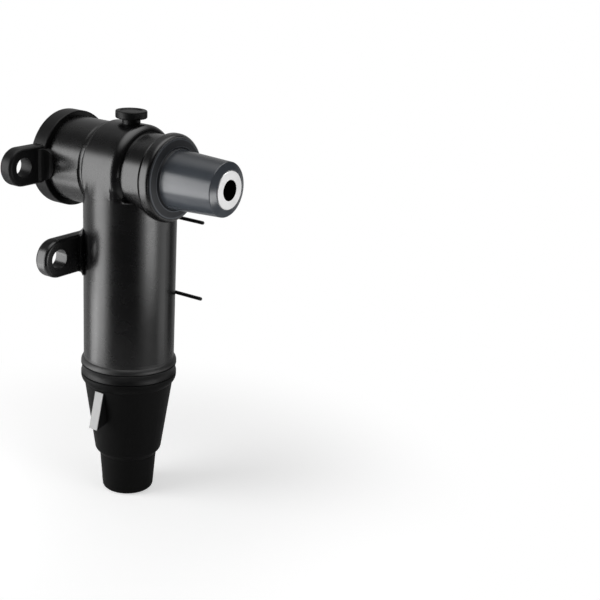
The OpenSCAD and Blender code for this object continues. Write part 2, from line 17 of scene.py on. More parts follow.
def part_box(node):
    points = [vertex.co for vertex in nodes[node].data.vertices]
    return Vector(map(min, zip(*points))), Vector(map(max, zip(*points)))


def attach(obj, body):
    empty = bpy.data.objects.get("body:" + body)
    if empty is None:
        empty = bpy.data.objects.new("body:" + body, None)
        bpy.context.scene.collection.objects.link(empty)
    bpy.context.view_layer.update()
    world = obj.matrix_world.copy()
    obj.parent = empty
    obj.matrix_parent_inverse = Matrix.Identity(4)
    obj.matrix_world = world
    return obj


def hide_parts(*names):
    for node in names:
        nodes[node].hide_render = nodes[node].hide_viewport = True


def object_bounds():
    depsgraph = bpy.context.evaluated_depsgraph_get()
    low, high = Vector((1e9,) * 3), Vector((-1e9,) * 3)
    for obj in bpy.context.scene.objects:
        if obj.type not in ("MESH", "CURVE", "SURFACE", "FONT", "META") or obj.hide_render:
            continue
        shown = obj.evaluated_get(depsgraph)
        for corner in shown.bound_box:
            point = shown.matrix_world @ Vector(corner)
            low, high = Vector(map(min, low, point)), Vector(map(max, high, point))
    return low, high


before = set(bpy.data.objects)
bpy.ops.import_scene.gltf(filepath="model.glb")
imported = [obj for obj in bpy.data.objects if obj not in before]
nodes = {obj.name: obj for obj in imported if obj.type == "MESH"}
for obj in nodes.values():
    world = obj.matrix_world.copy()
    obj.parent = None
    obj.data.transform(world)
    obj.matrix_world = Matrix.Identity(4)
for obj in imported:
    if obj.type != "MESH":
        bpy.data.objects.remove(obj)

MM = 0.001
cad_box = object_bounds()
print("nodes:", len(nodes), "box:", cad_box)

# %% [markdown]
# ## The camera
# The photograph was taken from a little above the cone's side. The camera's place was found by matching
# about a hundred and fifty points of the photograph, so its values are kept as they came out: where it
# stands, seen from the point where the tee's two axes cross, and how far it is turned away from that
# point. A long lens keeps the perspective as mild as the photograph's.

# %% Stand the camera
reach = 105.5 * MM                       # from the crossing of the axes to the mouth of the contact bore
tee_centre = Vector((-reach, 0, 0))
camera_azimuth = math.radians(41.45)
camera_height = math.radians(12.40)
camera_distance = 1077.75 * MM
camera_pan = math.radians(7.79)
camera_tilt = math.radians(5.77)
camera_roll = math.radians(-1.36)
focal_over_width = 1252.28 / 600         # both in pixels of the photograph


def look_at_centre(azimuth, height):
    """The rows are the camera's right, up and back directions when it looks straight at the centre."""
    level = math.cos(height)
    back = Vector((math.sin(azimuth) * level, -math.cos(azimuth) * level, math.sin(height)))
    right = Vector((math.cos(azimuth), math.sin(azimuth), 0))
    return Matrix((right, back.cross(right), back))


pan_turn = Matrix.Rotation(camera_pan, 3, "Y")
tilt_turn = Matrix.Rotation(camera_tilt, 3, "X")
roll_turn = Matrix.Rotation(camera_roll, 3, "Z")
straight = look_at_centre(camera_azimuth, camera_height)
turned = roll_turn @ tilt_turn @ pan_turn @ straight
camera_place = tee_centre + straight[2] * camera_distance

lens = bpy.data.cameras.new("portrait_camera")
lens.sensor_fit = "HORIZONTAL"
lens.lens = focal_over_width * lens.sensor_width
camera = bpy.data.objects.new("portrait_camera", lens)
bpy.context.scene.collection.objects.link(camera)
camera.matrix_world = Matrix.Translation(camera_place) @ turned.transposed().to_4x4()
bpy.context.scene.camera = camera
bpy.context.scene.view_settings.view_transform = "Standard"
print("camera at", [round(v, 4) for v in camera_place], "lens", round(lens.lens, 2))

# %% [markdown]
# ## Small helpers for node trees
# Materials, the world and Geometry Nodes are all trees of nodes. A few helpers keep the later cells
# short: one adds a node and fills its inputs, one joins two sockets, one makes a soft step and one does a
# sum.

# %% Helpers for node trees
def add_node(tree, kind, values=None, **settings):
    """Adds a node, sets its own settings, then fills inputs by name or number."""
    made = tree.nodes.new(kind)
    for name, value in settings.items():
        setattr(made, name, value)
    for name, value in (values or {}).items():
        made.inputs[name].default_value = value
    return made


def join(tree, source, target):
    """Joins one output socket to one input socket."""
    tree.links.new(source, target)


def faded(tree, value, low, high, dark, bright):
    """A smooth step from dark to bright as the value goes from low to high."""
    step = add_node(tree, "ShaderNodeMapRange", {"From Min": low, "From Max": high, "To Min": dark,
                                                 "To Max": bright}, interpolation_type="SMOOTHSTEP")
    join(tree, value, step.inputs["Value"])
    return step.outputs["Result"]


def calculated(tree, operation, first, second):
    """One sum of two values, where each is a socket or a number."""
    made = add_node(tree, "ShaderNodeMath", operation=operation)
    for socket, value in zip(made.inputs, (first, second)):
        if isinstance(value, (int, float)):
            socket.default_value = value
        else:
            join(tree, value, socket)
    return made.outputs["Value"]


print("helpers ready")

# %% [markdown]
# ## The white surround
# Such a product is photographed on white. Black rubber shows almost nothing but reflections, so what
# stands round it decides how it reads. One even white world would make every curve shine and turn the
# black to grey. So the surround is split by who looks at it. The camera sees full white. Dull surfaces
# get an even dim light. A mirror sees a dark room with four soft patches in it: the sweep on the cone's
# side, the ceiling, and two dim walls that draw the sides which the portrait doesn't show.

# %% The white surround
world = bpy.data.worlds.new("white_surround")
world.use_nodes = True
bpy.context.scene.world = world
sky = world.node_tree
sky.nodes.clear()
room_light = 0.22        # what falls on dull surfaces
front_light = 0.03       # what a mirror sees where nothing stands
soft_patches = [         # azimuth, height in degrees, radius in degrees, brightness in a mirror
    ("white sweep", 44, -13, 22, 1.3),
    ("ceiling", 60, 80, 50, 2.6),
    ("far wall", 130, 0, 62, 0.42),
    ("rear wall", 190, 5, 45, 0.45),
]

path = add_node(sky, "ShaderNodeLightPath")
looks = add_node(sky, "ShaderNodeTexCoord")
mirrored = front_light
for name, azimuth, height, radius, brightness in soft_patches:
    a, e = math.radians(azimuth), math.radians(height)
    towards = (math.cos(a) * math.cos(e), math.sin(a) * math.cos(e), math.sin(e))
    patch = add_node(sky, "ShaderNodeVectorMath", {1: towards}, operation="DOT_PRODUCT", label=name)
    join(sky, looks.outputs["Generated"], patch.inputs[0])
    glow = faded(sky, patch.outputs["Value"], math.cos(math.radians(radius)), 1.0, 0.0, brightness)
    mirrored = calculated(sky, "ADD", mirrored, glow)
mirror_ray = calculated(sky, "MAXIMUM", path.outputs["Is Glossy Ray"], path.outputs["Is Transmission Ray"])
for_mirror = calculated(sky, "MULTIPLY", mirror_ray, calculated(sky, "SUBTRACT", mirrored, room_light))
dim = calculated(sky, "ADD", for_mirror, room_light)
strength = calculated(sky, "MAXIMUM", dim, path.outputs["Is Camera Ray"])
surround = add_node(sky, "ShaderNodeBackground", {"Color": (1, 1, 1, 1)})
world_out = add_node(sky, "ShaderNodeOutputWorld")
join(sky, strength, surround.inputs["Strength"])
join(sky, surround.outputs[0], world_out.inputs["Surface"])
print("room light", room_light, "soft patches", len(soft_patches), "front", front_light)

# %% [markdown]
# ## The floor
# The floor is a round pale sheet just under the nozzle. It takes the part's shadow, and towards its rim
# it turns to the surround's white, so that no edge shows. A brighter lamp would whiten it too, but would
# also fall on the part. So the floor has a glow of its own, and only the camera sees it.

# %% The floor under the nozzle
floor_z = cad_box[0][2] - 0.0005
floor_radius, floor_sides = 0.38, 96
floor_grey, floor_glow = 0.8, 0.50
white_starts, white_ends = 0.10, 0.34    # distances from the nozzle
rim_angles = [2 * math.pi * i / floor_sides for i in range(floor_sides)]
rim = [(floor_radius * math.cos(a) - reach, floor_radius * math.sin(a), floor_z) for a in rim_angles]
floor_mesh = bpy.data.meshes.new("floor")
floor_mesh.from_pydata(rim, [], [range(floor_sides)])
floor = bpy.data.objects.new("floor", floor_mesh)
bpy.context.scene.collection.objects.link(floor)
print("floor at", round(floor_z, 4))

# %% [markdown]
# The floor's paint is dull and nearly white. For the camera the glow is added to it, and the further a point
# lies from the nozzle, the more plain white takes over.

# %% Paint the floor
pale = bpy.data.materials.new("pale_floor")
pale.use_nodes = True
tree = pale.node_tree
tree.nodes.clear()
seen_by = add_node(tree, "ShaderNodeLightPath")
floor_where = add_node(tree, "ShaderNodeTexCoord")
from_nozzle = add_node(tree, "ShaderNodeVectorMath", {1: (-reach, 0, floor_z)}, operation="DISTANCE")
paint = add_node(tree, "ShaderNodeBsdfDiffuse", {"Color": (floor_grey, floor_grey, floor_grey, 1)})
glowing = add_node(tree, "ShaderNodeEmission", {"Color": (1, 1, 1, 1), "Strength": floor_glow})
white = add_node(tree, "ShaderNodeEmission", {"Color": (1, 1, 1, 1), "Strength": 1.0})
lit = add_node(tree, "ShaderNodeAddShader")
to_white = add_node(tree, "ShaderNodeMixShader")
for_camera = add_node(tree, "ShaderNodeMixShader")
floor_out = add_node(tree, "ShaderNodeOutputMaterial")
join(tree, floor_where.outputs["Object"], from_nozzle.inputs[0])
join(tree, paint.outputs[0], lit.inputs[0])
join(tree, glowing.outputs[0], lit.inputs[1])
whitening = faded(tree, from_nozzle.outputs["Value"], white_starts, white_ends, 0.0, 1.0)
join(tree, whitening, to_white.inputs["Fac"])
join(tree, lit.outputs[0], to_white.inputs[1])
join(tree, white.outputs[0], to_white.inputs[2])
join(tree, seen_by.outputs["Is Camera Ray"], for_camera.inputs["Fac"])
join(tree, paint.outputs[0], for_camera.inputs[1])
join(tree, to_white.outputs[0], for_camera.inputs[2])
join(tree, for_camera.outputs[0], floor_out.inputs["Surface"])
floor.data.materials.append(pale)
print("floor grey", floor_grey, "glow", floor_glow)

# %% [markdown]
# ## The soft boxes
# Tall lamps draw the long bands on the leg and on both arms. A lamp with one sharp edge would draw a hard
# stripe, so each side has a bright core with a wider and dimmer lamp just behind it. A narrow box widens
# the left band on its inner side, and a low one close to the adapter catches its skirt. The tall boxes
# lean a little, which makes the band on the leg lean as the photograph's does.

# %% Set up the soft boxes
soft_boxes = [           # azimuth, low and high end, distance, width, brightness in a mirror, lean
    ("left_soft_box", -128, -0.40, 0.27, 0.60, 0.30, 3.3, 10),
    ("left_box_edge", -126, -0.44, 0.33, 0.601, 0.50, 1.5, 10),
    ("left_high_box", -109, -0.21, 0.22, 0.59, 0.14, 1.7, 6),
    ("left_low_box", -143, -0.29, -0.185, 0.31, 0.12, 3.6, 0),
    ("right_soft_box", 1, -0.225, -0.08, 0.50, 0.23, 4.2, 0),
    ("right_box_edge", 0, -0.26, -0.04, 0.501, 0.44, 1.2, 0),
]


def soft_box(name, azimuth, low_z, high_z, distance, width, brightness, lean):
    """A tall lamp that faces the leg's axis. The camera doesn't see it."""
    a = math.radians(azimuth)
    height = high_z - low_z
    middle = Vector((-reach, 0, (low_z + high_z) / 2))
    place = middle + Vector((math.cos(a) * distance, math.sin(a) * distance, 0))
    lamp = bpy.data.lights.new(name, "AREA")
    lamp.shape = "RECTANGLE"
    lamp.size = width
    lamp.size_y = height
    lamp.energy = brightness * math.pi * width * height
    made = bpy.data.objects.new(name, lamp)
    bpy.context.scene.collection.objects.link(made)
    facing = (middle - place).to_track_quat("-Z", "Y").to_matrix().to_4x4()
    made.matrix_world = Matrix.Translation(place) @ facing @ Matrix.Rotation(math.radians(lean), 4, "Z")
    made.visible_camera = False


for box in soft_boxes:
    soft_box(*box)
print("soft boxes:", len(soft_boxes))

# %% [markdown]
# ## Moulded rubber
# The jacket, caps and adapter are moulded from carbon-filled rubber. It is nearly black, and its surface
# is satin: smooth enough for long soft highlights, with a fine bloom that breaks them up. A plain black
# would look like paint, so one noise clouds colour and gloss together, and a much finer one gives the
# skin its grain. Each piece then gets its own gloss: the jacket is the smoothest, and the adapter the
# dullest.

# %% The recipe for moulded rubber
bloom_scale, grain_scale = 38.0, 1500.0


def new_material(name):
    """An empty material with its output."""
    made = bpy.data.materials.new(name)
    made.use_nodes = True
    made.node_tree.nodes.clear()
    out = add_node(made.node_tree, "ShaderNodeOutputMaterial")
    return made, made.node_tree, out


def moulded_rubber(name, dark, light, rough_low, rough_high, level, grain=0.00004):
    """Satin rubber: a cloudy bloom in colour and gloss, and a fine grain."""
    made, tree, out = new_material(name)
    where = add_node(tree, "ShaderNodeTexCoord")
    bloom = add_node(tree, "ShaderNodeTexNoise", {"Scale": bloom_scale, "Detail": 5.0, "Roughness": 0.62})
    fine = add_node(tree, "ShaderNodeTexNoise", {"Scale": grain_scale, "Detail": 3.0, "Roughness": 0.6})
    colour = add_node(tree, "ShaderNodeMix", data_type="RGBA")
    colour.inputs[6].default_value = (*dark, 1)
    colour.inputs[7].default_value = (*light, 1)
    gloss = add_node(tree, "ShaderNodeMapRange", {"From Min": 0.3, "From Max": 0.7, "To Min": rough_low,
                                                  "To Max": rough_high})
    bump = add_node(tree, "ShaderNodeBump", {"Strength": 0.35, "Distance": grain})
    skin = add_node(tree, "ShaderNodeBsdfPrincipled", {"Specular IOR Level": level})
    join(tree, where.outputs["Object"], bloom.inputs["Vector"])
    join(tree, where.outputs["Object"], fine.inputs["Vector"])
    join(tree, bloom.outputs["Fac"], colour.inputs[0])
    join(tree, bloom.outputs["Fac"], gloss.inputs["Value"])
    join(tree, fine.outputs["Fac"], bump.inputs["Height"])
    join(tree, colour.outputs[2], skin.inputs["Base Color"])
    join(tree, gloss.outputs[0], skin.inputs["Roughness"])
    join(tree, bump.outputs[0], skin.inputs["Normal"])
    join(tree, skin.outputs[0], out.inputs["Surface"])
    return made


print("rubber recipe ready")

# %% [markdown]
# Each rubber then gets its dark and light tint, its lowest and highest roughness, and how strongly it
# reflects. The jacket and the caps share one black and differ only in gloss, because the photograph shows
# long clear bands on the jacket and only faint ones on the caps.

# %% Mix the rubbers
carbon_black = ((0.003, 0.003, 0.0032), (0.005, 0.005, 0.0052))
deep_black = ((0.002, 0.002, 0.002), (0.003, 0.003, 0.003))
slate = ((0.058, 0.066, 0.078), (0.07, 0.079, 0.092))
jacket_rubber = moulded_rubber("jacket_rubber", *carbon_black, 0.24, 0.30, 0.6)
cap_rubber = moulded_rubber("cap_rubber", *carbon_black, 0.38, 0.48, 0.22)
adapter_rubber = moulded_rubber("adapter_rubber", *deep_black, 0.44, 0.54, 0.1)
insulation_rubber = moulded_rubber("insulation_rubber", *slate, 0.19, 0.26, 0.65)
screen_rubber = moulded_rubber("screen_rubber", (0.012, 0.012, 0.012), (0.02, 0.02, 0.02), 0.5, 0.6, 0.4)
stress_rubber = moulded_rubber("stress_rubber", (0.05, 0.05, 0.054), (0.07, 0.07, 0.075), 0.4, 0.5, 0.4)
print("rubbers made")

# %% [markdown]
# ## Finish by place
# One moulding can be matt here and polished there, and a bore can be darker than the face round it.
# Cutting the piece up would leave seams that the real one doesn't have. So the material asks where on the
# piece a point lies: how far along each axis, and how far out from the tee axis.

# %% Helpers that tell a place on a piece
def surface_of(material):
    """The material's tree and its surface shader."""
    tree = material.node_tree
    return tree, next(node for node in tree.nodes if node.type == "BSDF_PRINCIPLED")


def feed_of(socket):
    """What already feeds an input."""
    return socket.links[0].from_socket


def place_on(tree):
    """A point's place on the piece, whole and as its three parts."""
    where = add_node(tree, "ShaderNodeTexCoord")
    parts = add_node(tree, "ShaderNodeSeparateXYZ")
    join(tree, where.outputs["Object"], parts.inputs[0])
    return where.outputs["Object"], parts.outputs


def out_from_tee_axis(tree, place):
    """How far a point lies from the tee axis."""
    flat = add_node(tree, "ShaderNodeVectorMath", {1: (0, 1, 1)}, operation="MULTIPLY")
    length = add_node(tree, "ShaderNodeVectorMath", operation="LENGTH")
    join(tree, place, flat.inputs[0])
    join(tree, flat.outputs[0], length.inputs[0])
    return length.outputs["Value"]


print("place helpers ready")

# %% [markdown]
# ## The flange and the cone
# The insulation shows only at the front. The cone is slick with grease, so that it slides into the second
# tee. The flange behind it is matt, and it is painted darker as painted shade, because its face turns away
# from the lamps. Its two rims are painted paler as painted highlights, where their round edges catch light.

# %% Finish the flange and the cone
flange_front = -reach + 0.0525
rim_radii = (0.0270, 0.0330)
rim_highlight_half = 0.0009
# painted shade on the flange's face, and painted highlights on its two rims
flange_painted_shade = (0.012, 0.014, 0.018, 1)
rim_painted_highlight = (0.10, 0.11, 0.125, 1)
duller_flange = 0.4

cone_tree, cone_skin = surface_of(insulation_rubber)
cone_place, cone_parts = place_on(cone_tree)
cone_out = out_from_tee_axis(cone_tree, cone_place)
on_cone = faded(cone_tree, cone_parts["X"], flange_front, flange_front + 0.001, 0.0, 1.0)
rims = 0.0
# each rim gets a thin band painted paler: a painted highlight
for radius in rim_radii:
    off = calculated(cone_tree, "ABSOLUTE", calculated(cone_tree, "SUBTRACT", cone_out, radius), 0.0)
    rims = calculated(cone_tree, "ADD", rims, faded(cone_tree, off, 0.0, rim_highlight_half, 1.0, 0.0))
flange_shade_and_highlights = add_node(cone_tree, "ShaderNodeMix", {6: flange_painted_shade, 7: rim_painted_highlight}, data_type="RGBA")
whole_tint = add_node(cone_tree, "ShaderNodeMix", data_type="RGBA")
join(cone_tree, rims, flange_shade_and_highlights.inputs[0])
join(cone_tree, on_cone, whole_tint.inputs[0])
join(cone_tree, flange_shade_and_highlights.outputs[2], whole_tint.inputs[6])
join(cone_tree, feed_of(cone_skin.inputs["Base Color"]), whole_tint.inputs[7])
join(cone_tree, whole_tint.outputs[2], cone_skin.inputs["Base Color"])
cone_gloss = feed_of(cone_skin.inputs["Roughness"])
matt = calculated(cone_tree, "MULTIPLY", calculated(cone_tree, "SUBTRACT", 1.0, on_cone), duller_flange)
join(cone_tree, calculated(cone_tree, "ADD", cone_gloss, matt), cone_skin.inputs["Roughness"])
print("flange front at", round(flange_front, 4), "rims at", rim_radii)

# %% [markdown]
# ## Mould lines and the worn lip
# The moulds of the arms and the cone are turned on a lathe, and the tool's marks come out in the rubber
# as faint lines round the tee axis. They are far too fine for geometry, so a noise that is squeezed along
# the axis raises them as a bump. Down the leg they would run the wrong way, so they fade out below the
# arms. The lip at the foot of the leg is duller, because hands and the lock ring have rubbed it.

# %% Add the mould lines and dull the lip
line_squeeze = (1100, 14, 14)
line_fade = 0.006


def add_mould_lines(material, depth, low_z):
    """Fine lines round the tee axis, above a height."""
    tree, skin = surface_of(material)
    place, parts = place_on(tree)
    squeezed = add_node(tree, "ShaderNodeVectorMath", {1: line_squeeze}, operation="MULTIPLY")
    lines = add_node(tree, "ShaderNodeTexNoise", {"Scale": 1.0, "Detail": 2.0})
    bump = add_node(tree, "ShaderNodeBump", {"Strength": 0.5, "Distance": depth})
    join(tree, place, squeezed.inputs[0])
    join(tree, squeezed.outputs[0], lines.inputs["Vector"])
    shown = faded(tree, parts["Z"], low_z, low_z + line_fade, 0.0, 1.0)
    join(tree, calculated(tree, "MULTIPLY", lines.outputs["Fac"], shown), bump.inputs["Height"])
    join(tree, feed_of(skin.inputs["Normal"]), bump.inputs["Normal"])
    join(tree, bump.outputs[0], skin.inputs["Normal"])


def dull_the_foot(material, high_z, low_z, more):
    """A duller skin below a height."""
    tree, skin = surface_of(material)
    duller = faded(tree, place_on(tree)[1]["Z"], low_z, high_z, more, 0.0)
    gloss = feed_of(skin.inputs["Roughness"])
    join(tree, calculated(tree, "ADD", gloss, duller), skin.inputs["Roughness"])


add_mould_lines(jacket_rubber, 0.00006, -0.026)
add_mould_lines(insulation_rubber, 0.00005, -0.060)
dull_the_foot(jacket_rubber, -0.1640, -0.1680, 0.20)
print("mould lines on the jacket and the cone, duller lip on the leg")

# %% [markdown]
# ## Metals, resin and the plate
# The contact in the cone is silver-plated copper, turned on a lathe, so its face carries faint rings. The
# lug is tinned, the stud, nut and washers are plain steel, and the inserts are brass. One recipe makes
# them all, because they differ only in colour, gloss and the way that the rings run. The plug is cast
# from brown resin and the plate is dull plastic, and both can use the rubber's recipe with other values.
# The plate's light grey is a painted reflection: it stands in for the bright lamp that its flat face
# mirrors.

# %% The recipe for turned metal
cloud_scale, ring_scale = 120.0, 450.0
ring_depth = 0.000012
cloud_shade = 0.93       # how dark the clouds are


def turned_metal(name, colour, rough_low, rough_high, rings_round="X"):
    """Metal with the fine rings that turning leaves round an axis."""
    made, tree, out = new_material(name)
    where = add_node(tree, "ShaderNodeTexCoord")
    cloud = add_node(tree, "ShaderNodeTexNoise", {"Scale": cloud_scale, "Detail": 4.0})
    rings = add_node(tree, "ShaderNodeTexWave", {"Scale": ring_scale, "Distortion": 0.4, "Detail": 2.0},
                     wave_type="RINGS", rings_direction=rings_round)
    gloss = add_node(tree, "ShaderNodeMapRange", {"From Min": 0.3, "From Max": 0.7, "To Min": rough_low,
                                                  "To Max": rough_high})
    tint = add_node(tree, "ShaderNodeMix", data_type="RGBA")
    tint.inputs[6].default_value = (*[c * cloud_shade for c in colour], 1)
    tint.inputs[7].default_value = (*colour, 1)
    bump = add_node(tree, "ShaderNodeBump", {"Strength": 0.4, "Distance": ring_depth})
    skin = add_node(tree, "ShaderNodeBsdfPrincipled", {"Metallic": 1.0})
    join(tree, where.outputs["Object"], cloud.inputs["Vector"])
    join(tree, where.outputs["Object"], rings.inputs["Vector"])
    join(tree, cloud.outputs["Fac"], gloss.inputs["Value"])
    join(tree, cloud.outputs["Fac"], tint.inputs[0])
    join(tree, rings.outputs["Fac"], bump.inputs["Height"])
    join(tree, tint.outputs[2], skin.inputs["Base Color"])
    join(tree, gloss.outputs[0], skin.inputs["Roughness"])
    join(tree, bump.outputs[0], skin.inputs["Normal"])
    join(tree, skin.outputs[0], out.inputs["Surface"])
    return made


print("metal recipe ready")

# %% [markdown]
# The values are those of clean metal. The lug's barrel stands upright, so its rings run round the upright
# axis. The others take the tee axis, along which most of them lie.

# %% Mix the metals, the resin and the plate
silver = turned_metal("silver_plating", (0.95, 0.95, 0.95), 0.35, 0.45)
tinned = turned_metal("tinned_alloy", (0.72, 0.72, 0.74), 0.35, 0.5, "Z")
steel = turned_metal("plain_steel", (0.56, 0.56, 0.57), 0.25, 0.4)
brass = turned_metal("turned_brass", (0.78, 0.58, 0.28), 0.25, 0.4)
resin = moulded_rubber("cast_resin", (0.16, 0.06, 0.03), (0.22, 0.09, 0.045), 0.18, 0.28, 0.5)
# the plate's light grey is a painted reflection of a lamp on its flat face
plate_grey = moulded_rubber("plate_grey", (0.37, 0.37, 0.37), (0.46, 0.46, 0.46), 0.45, 0.55, 0.4, 0.00012)
print("metals made")

# %% [markdown]
# ## The dark bore of the contact
# Only the face of the contact is kept bright. Its bore is bare copper that has gone dark, and in a deep
# hole it reads as black. A bright metal there would carry light down the hole, so the wall is painted dark
# from the bore's edge inwards: partly the copper's own dark colour, partly painted shade of the deep hole.

# %% Darken the bore
bore_wall, face_starts = 0.00860, 0.00885
# the bore's dark colour is partly tarnished copper, partly painted shade of the deep hole
dark_copper_and_shade = (0.012, 0.011, 0.010, 1)
bore_tree, silver_skin = surface_of(silver)
bore_out = out_from_tee_axis(bore_tree, place_on(bore_tree)[0])
bore_shade_tint = add_node(bore_tree, "ShaderNodeMix", {6: dark_copper_and_shade}, data_type="RGBA")
join(bore_tree, faded(bore_tree, bore_out, bore_wall, face_starts, 0.0, 1.0), bore_shade_tint.inputs[0])
join(bore_tree, feed_of(silver_skin.inputs["Base Color"]), bore_shade_tint.inputs[7])
join(bore_tree, bore_shade_tint.outputs[2], silver_skin.inputs["Base Color"])
print("bore dark inside radius", bore_wall)

# %% [markdown]
# ## Which piece gets which finish
# Every piece of the model has a name, so a list is enough. The pieces inside get their true finish as
# well, because someone may take the jacket off and look.

# %% Give each piece its finish
finish_of = {
    "outer_jacket": jacket_rubber, "insulation_body": insulation_rubber, "inner_screen": screen_rubber,
    "contact_sleeve": silver, "cable_lug": tinned, "shear_bolts": brass, "clamping_stud": steel,
    "flat_washer": steel, "spring_washer": steel, "stud_nut": steel, "rear_plug": resin,
    "plug_insert": brass, "voltage_tap": brass, "test_electrode": brass, "test_point_cap": cap_rubber,
    "rear_cap": cap_rubber,
    "lock_ring": cap_rubber, "adapter_body": adapter_rubber, "adapter_insulation": stress_rubber,
    "fin_plate": plate_grey, "upper_screen_pin": jacket_rubber, "lower_screen_pin": jacket_rubber,
}
for name, finish in finish_of.items():
    piece = nodes[name]
    for i in range(len(piece.data.materials)):
        piece.data.materials[i] = finish
print("finished pieces:", len(finish_of))

# %% [markdown]
# ## The jacket's forms
# The real jacket is moulded in one shot, so the hub runs into the leg without a line, and the shelf under
# the front arm ends in a small hollow. The solid has sharp creases there. To soften them, each form is
# first written as a distance: a function that says how far a point lies outside the hub, the leg, the
# foot or the arms. All sizes are in millimetres from the crossing of the axes.

# %% Describe the jacket's forms
hub_r, hub_round, hub_lip_round = 40.1, 7.5, 2.8
hub_start, hub_end = -20.8, 19.0
leg_r, leg_end = 40.1, -172.4
leg_taper = 0.4 / 150
corner_x, corner_y = 11.4, 30.55         # centre of the leg's rounded corner
shelf_z, shelf_round = -20.0, 1.5
front_arm_r, rear_arm_r = 34.2, 36.95


def round_bar(across, along, low, high, radius, low_round, high_round):
    """The distance from a round bar whose ends have rounded edges."""
    flat = np.maximum(np.maximum(across - radius, along - high), low - along)
    high_edge = np.hypot(along - (high - high_round), across - (radius - high_round)) - high_round
    low_edge = np.hypot(along - (low + low_round), across - (radius - low_round)) - low_round
    flat = np.where((along > high - high_round) & (across > radius - high_round), high_edge, flat)
    return np.where((along < low + low_round) & (across > radius - low_round), low_edge, flat)


def hub_form(p):
    """The hub, with its lip at the rear and its shoulder at the front."""
    across = np.hypot(p[:, 1], p[:, 2])
    return round_bar(across, p[:, 0], hub_start, hub_end, hub_r, hub_lip_round, hub_round)


def leg_form(p):
    """The upper leg, with its two rounded corners under the hub's shoulder."""
    side = np.abs(p[:, 1])
    body = np.hypot(p[:, 0], p[:, 1]) - leg_r
    corner = np.hypot(p[:, 0] - corner_x, side - corner_y) - hub_round
    front = p[:, 0] - (corner_x + hub_round)
    past = np.arctan2(side - corner_y, p[:, 0] - corner_x) < math.atan2(corner_y, corner_x)
    flat_or_round = np.where(side < corner_y, np.maximum(body, front), body)
    return np.where((side > corner_y) & past, corner, flat_or_round)


def foot_form(p):
    """The lower leg, up to its shelf."""
    across = np.hypot(p[:, 0], p[:, 1]) + leg_taper * np.maximum(shelf_z - p[:, 2], 0)
    return round_bar(across, p[:, 2], leg_end, shelf_z, leg_r, shelf_round, shelf_round)


def arms_form(p):
    """Both arms."""
    return np.hypot(p[:, 1], p[:, 2]) - np.where(p[:, 0] > 0, front_arm_r, rear_arm_r)


print("forms: hub radius", hub_r, "leg radius", leg_r, "shelf at", shelf_z)

# %% [markdown]
# ## Blend the forms
# A modifier could round every crease alike, but the mould doesn't. Where two forms meet at an angle the
# hollow is wide, and where they only touch there is none. So the blend's width grows with the angle
# between the two faces, which is read from the slopes of their distances. Behind the hub the solid's own
# lip stays as it is, and the front arm starts with a crisp line.

# %% Blend the forms
wide_blend, small_blend = 30.0, 5.0
rear_fade = 8.0          # length over which the wide blend grows, from the hub's rear
least_width = 1e-6


def slope(form, p, step=0.01):
    """The direction in which the distance from a form grows."""
    found = np.empty_like(p)
    for axis in range(3):
        aside = np.zeros(3)
        aside[axis] = step
        found[:, axis] = (form(p + aside) - form(p - aside)) / (2 * step)
    return found


def blended(one, other, p, width):
    """Joins two forms with a hollow that widens with the angle between their faces."""
    near_one, near_other = one(p), other(p)
    turn = 1 - np.clip((slope(one, p) * slope(other, p)).sum(1), -1, 1)
    reach_of_blend = np.maximum(width * turn, least_width)
    overlap = np.maximum(1 - np.abs(near_one - near_other) / reach_of_blend, 0)
    return np.minimum(near_one, near_other) - overlap * overlap * reach_of_blend / 4


def body_form(p):
    """The whole jacket near its centre, with its soft hollows."""
    from_rear = np.clip((p[:, 0] - hub_start) / rear_fade, 0, 1)
    hub_on_leg = blended(hub_form, leg_form, p, wide_blend * from_rear)
    leg_on_foot = blended(leg_form, foot_form, p, small_blend)
    hub_on_foot = blended(hub_form, foot_form, p, small_blend)
    arms_on_foot = np.minimum(arms_form(p), foot_form(p))
    return np.minimum.reduce([hub_on_leg, leg_on_foot, hub_on_foot, arms_on_foot])


print("blends:", wide_blend, small_blend)

# %% [markdown]
# ## Refine the jacket's skin
# The solid has long triangles, and a hollow needs short ones to bend. Only the skin round the creases is
# split, so that the piece stays light. The splitting works on a merged copy, and each corner keeps the
# solid's own normal, which still shades everything that isn't softened.

# %% Copy the jacket and find its skin
blend_reach = 9.0           # how far from a crease the triangles are refined
surface_gap = 0.06          # how far a point of the skin may stand off the forms
skin_foot, skin_top, skin_half = -48, 2, 48
same_point = 1e-6
least_height = 1e-4         # of a triangle, in mm


def merged_copy(name):
    """The piece's mesh with its doubled points merged, in mm from the crossing of the axes.
    Each corner keeps its normal in a layer."""
    source = nodes[name].data
    mesh = bmesh.new()
    mesh.from_mesh(source)
    kept = mesh.loops.layers.float_vector.new("kept_normal")
    for face in mesh.faces:
        first = source.polygons[face.index].loop_start
        for i, corner in enumerate(face.loops):
            corner[kept] = source.corner_normals[first + i].vector
    bmesh.ops.remove_doubles(mesh, verts=mesh.verts, dist=same_point)
    to_mm = Matrix.Scale(1 / MM, 4) @ Matrix.Translation((reach, 0, 0))
    bmesh.ops.transform(mesh, matrix=to_mm, verts=mesh.verts)
    return mesh


def turn_long_edge(face):
    """Gives the long edge of a triangle without height to its neighbour, so that no skin lies double."""
    longest = max(face.edges, key=bmesh.types.BMEdge.calc_length)
    if 2 * face.calc_area() > least_height * longest.calc_length() or len(longest.link_faces) != 2:
        return
    tip, far_tip = [next(v for v in f.verts if v not in longest.verts) for f in longest.link_faces]
    if tip != far_tip and all(edge.other_vert(tip) != far_tip for edge in tip.link_edges):
        bmesh.utils.edge_rotate(longest)


